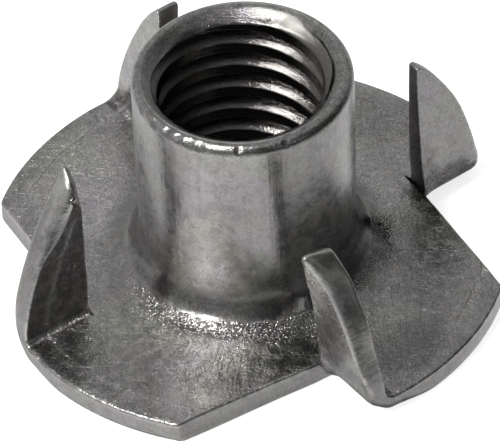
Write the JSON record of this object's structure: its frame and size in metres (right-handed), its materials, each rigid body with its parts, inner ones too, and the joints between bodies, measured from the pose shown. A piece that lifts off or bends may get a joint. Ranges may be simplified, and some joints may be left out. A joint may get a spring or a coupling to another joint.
{
  "type": "tee nut",
  "caption": "Pronged tee nut pressed from sheet steel: a threaded barrel on a round flange whose cut-out spikes fold up to bite into wood.",
  "frame": {"origin": "on the barrel's axis, at the underside of the flange", "axes": "+Z along the barrel's axis, from the flange towards the open end of the barrel; +X along the blade of one prong, outwards, with that prong's flat faces parallel to X"},
  "size_m": [0.022, 0.022, 0.0109],
  "materials": {
    "steel": "bare pressed steel, dull with a satin barrel, pitted flange and brighter sheared edges"
  },
  "bodies": {
    "root": {"tee_nut": "steel"}
  },
  "joints": []
}
